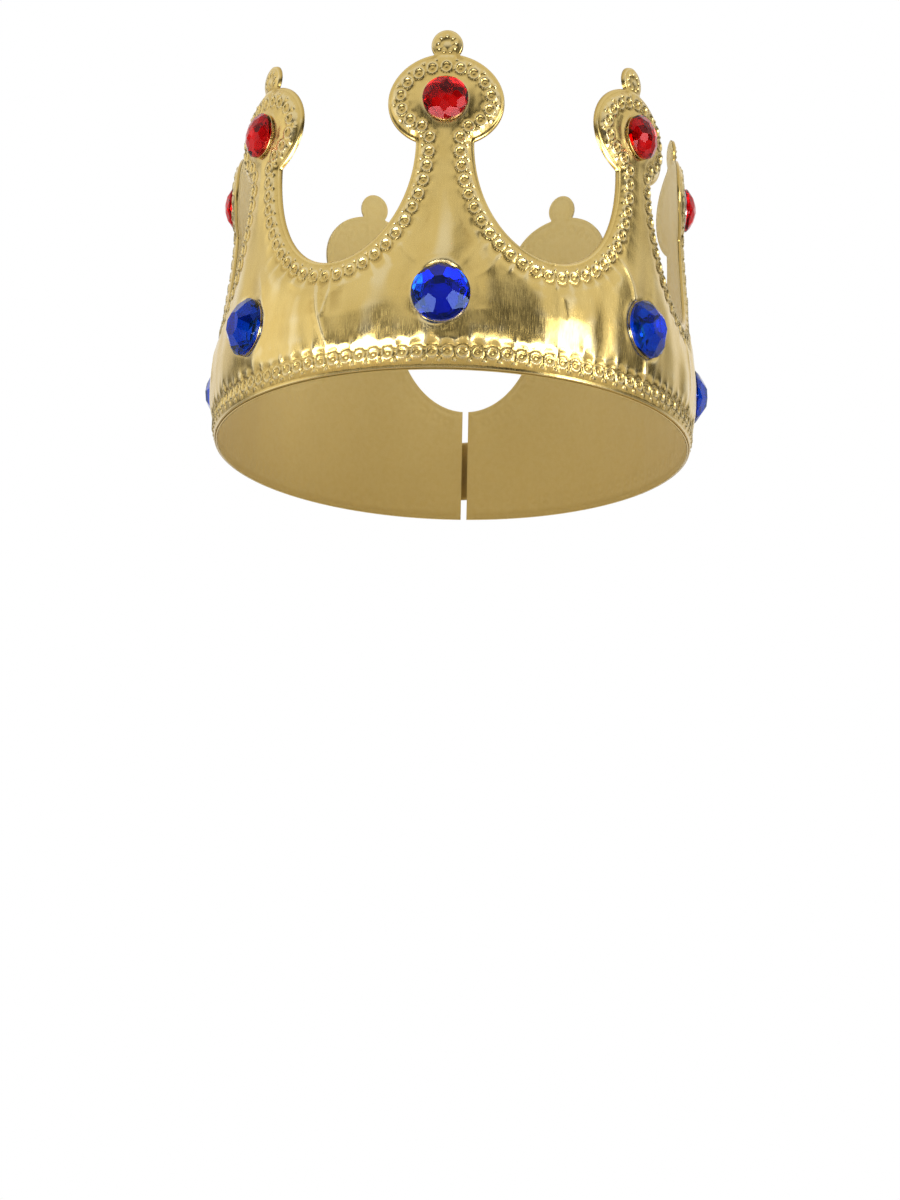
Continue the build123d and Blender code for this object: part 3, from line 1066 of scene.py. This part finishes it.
def add_world():
    """White studio: pure white behind the crown, darker towards the room in its reflections."""
    world = bpy.data.worlds.new("studio")
    bpy.context.scene.world = world
    room = Nodes(world, "Background")
    place = room.add("TexCoord").outputs["Generated"]
    parts = room.add("SeparateXYZ")
    room.link(place, parts.inputs["Vector"])
    light = room.ramp(parts.outputs["Z"], *HORIZON, HORIZON_LIGHT, BASE_LIGHT)
    for azimuth, elevation, inner, outer, brightness in WORLD_PATCHES:
        facing = room.add("VectorMath", operation="DOT_PRODUCT")
        facing.inputs[1].default_value = direction(azimuth, elevation)
        room.link(place, facing.inputs[0])
        edge = (math.cos(math.radians(outer)), math.cos(math.radians(inner)))
        light = room.faded(room.ramp(facing.outputs["Value"], *edge), light, brightness)
    light = room.faded(room.ramp(parts.outputs["Z"], *FLOOR_EDGE, 1, 0), light, FLOOR_LIGHT)
    light = room.faded(room.add("LightPath").outputs["Is Camera Ray"], light, 1.0)
    room.drive("Color", light)


def add_floor():
    """Pale floor that fades into the white room and is clear from below."""
    size = 0.9
    corners = np.array([(-size, -size, 0), (size, -size, 0), (size, size, 0), (-size, size, 0)])
    floor = new_object("floor", corners, np.array([[0, 1, 2, 3]]))
    surface = new_material("floor", (0.86, 0.86, 0.86), Roughness=0.7, Specular_IOR_Level=0.2)
    distance = surface.add("VectorMath", operation="LENGTH")
    surface.link(surface.place("object", 1), distance.inputs[0])
    above = surface.add("Math", operation="SUBTRACT", use_clamp=True)
    surface.link(surface.ramp(distance.outputs["Value"], 0.25, 0.8, 1, 0), above.inputs[0])
    surface.link(surface.add("NewGeometry").outputs["Backfacing"], above.inputs[1])
    surface.drive("Alpha", above.outputs[0])
    floor.data.materials.append(surface.owner)


def add_light(name, place, target, size, radiance):
    """Rectangular softbox of a set brightness, not seen by the camera itself."""
    light = bpy.data.lights.new(name, "AREA")
    light.shape = "RECTANGLE"
    light.size, light.size_y = size
    light.energy = radiance * math.pi * size[0] * size[1]
    made = bpy.data.objects.new(name, light)
    bpy.context.collection.objects.link(made)
    made.location = place
    made.rotation_mode = "QUATERNION"
    made.rotation_quaternion = (Vector(target) - Vector(place)).to_track_quat("-Z", "Y")
    made.visible_camera = False


def add_lights():
    """The key softbox, and two cards that face up for the white band above the rim."""
    centre = Vector((0, 0, 0.05))
    place = centre + direction(*KEY_PLACE) * KEY_DISTANCE
    add_light("key_softbox", place, centre, KEY_SIZE, KEY_RADIANCE)
    for name, (left, right) in CARDS.items():
        middle = ((left + right) / 2, *CARD_PLACE)
        add_light(name, middle, (*middle[:2], 1), (right - left, CARD_DEPTH), CARD_RADIANCE)


def finish_piece(piece, body, slot, material, *nodes):
    """Gives a piece its material and body, and hides the CAD nodes it stands for. Its slot is not used.
    """
    piece.data.materials.append(material)
    if body:
        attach(piece, body)
    if nodes:
        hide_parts(*nodes)


def repaint(prefixes, material):
    """New material for the CAD nodes that keep their shape."""
    for name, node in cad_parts.items():
        if name.startswith(prefixes):
            node.data.materials.clear()
            node.data.materials.append(material)


def build_strip():
    """The foil front, with the foam behind it, and the lining."""
    gold = foil_material()
    lining = cloth_material("gold_lining", (0.8, 0.6, 0.2), (1.0, 0.82, 0.38), 0.45, 0.25, 0.45)
    skin = closed_sheet("foil_skin", joined(foil_spike), joined(plain_spike))
    finish_piece(skin, "band", "gold_foil", gold, "front_skin", "foam_core")
    cloth = lining_sheet()
    finish_piece(cloth, "band", "gold_lining", lining, "lining")


def build_tab(seams):
    """The closing tab's cloth, in one piece from its sewn end up over the tapes."""
    ribbon = cloth_material("gold_tab", (0.55, 0.38, 0.1), (0.86, 0.65, 0.25), 0.5, 0.2, 0.5)
    outline = rounded_outline(ANCHOR_START, TAB_END, TAB_TALL, ANCHOR_CORNER, TAB_CORNER)
    dimples = seam_dimples(np.concatenate(seams))
    tab = rounded_cloth("closing_tab_cloth", outline, TAB_THICK, tab_middle, dimples)
    finish_piece(tab, None, "gold_tab", ribbon, "tab_anchor", "tab_flap")
    start = on_wall(BACK + FOLD_START, CLOSURE_HEIGHT, FOLD_OFFSET)
    end = on_wall(BACK + FOLD_END, CLOSURE_HEIGHT, FOLD_OFFSET)
    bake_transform(tab)


def build_stitching(flap_seam, anchor_seam):
    """The thread that sews the flap, the tab's sewn end and the loop tape."""
    thread = thread_material("gold_thread", (0.26, 0.16, 0.04), (0.55, 0.38, 0.12))
    for name, seam, top, body in (
        ("flap", flap_seam, tab_top, "closing_tab"),
        ("anchor", anchor_seam, tab_top, "band"),
        ("loop", flap_seam, level(LOOP_SEAM), "band"),
    ):
        sewn = stitches(f"{name}_thread", seam, top)
        finish_piece(sewn, body, "gold_thread", thread, f"{name}_stitching")


def build_tapes():
    """The loop tape on the band and the hook tape inside the tab, each a base and its pile."""
    rng = random.Random(11)
    tape = cloth_material("tape", (0.55, 0.5, 0.38), (0.8, 0.75, 0.6), 0.6)
    nylon = thread_material("nylon", (0.62, 0.57, 0.45), (0.85, 0.81, 0.68))
    outline = rounded_outline(TAPE_START, TAPE_END, TAPE_TALL, 1, 1)
    for kind, body, under, thick, middle, *pile in (
        ("loop", "band", "foil_skin", LOOP_THICK, LOOP_MIDDLE, loop_line, 0.05, 0.8),
        ("hook", "closing_tab", "closing_tab_cloth", HOOK_THICK, HOOK_MIDDLE, hook_line, 0.07, 1.3),
    ):
        base = rounded_cloth(f"{kind}_tape_base", outline, thick, level(middle))
        finish_piece(base, body, f"{kind}_tape", tape, f"{kind}_tape")
        finish_piece(tape_field(f"{kind}_pile", *pile, rng), body, f"{kind}_tape", nylon)


def paint_stones():
    """The stones, their mirror film and their glue keep the CAD's shape."""
    red = (0.93, 0.012, 0.008), (0.82, 0.002, 0.006), (0.9, 0.3, 0.32)
    blue = (0.001, 0.075, 0.78), (0.0005, 0.045, 0.66), (0.3, 0.45, 1)
    repaint("red_gem_", acrylic_material("red_acrylic", *red))
    repaint("blue_gem_", acrylic_material("blue_acrylic", *blue))
    repaint(("red_backing", "blue_backing"), mirror_material())
    repaint(("red_gem_glue", "blue_gem_glue"), glue_material())


flap_seam = seam_path(TAPE_START + SEAM_INSET, TAPE_END - SEAM_INSET, TAPE_TALL - 2 * SEAM_INSET)
anchor_seam = seam_path(ANCHOR_SEAM_START, ANCHOR_SEAM_END, ANCHOR_SEAM_TALL)
build_strip()
build_tab((flap_seam, anchor_seam))
build_stitching(flap_seam, anchor_seam)
build_tapes()
paint_stones()
add_camera()
add_world()
add_floor()
add_lights()
bpy.context.scene.view_settings.view_transform = "Standard"
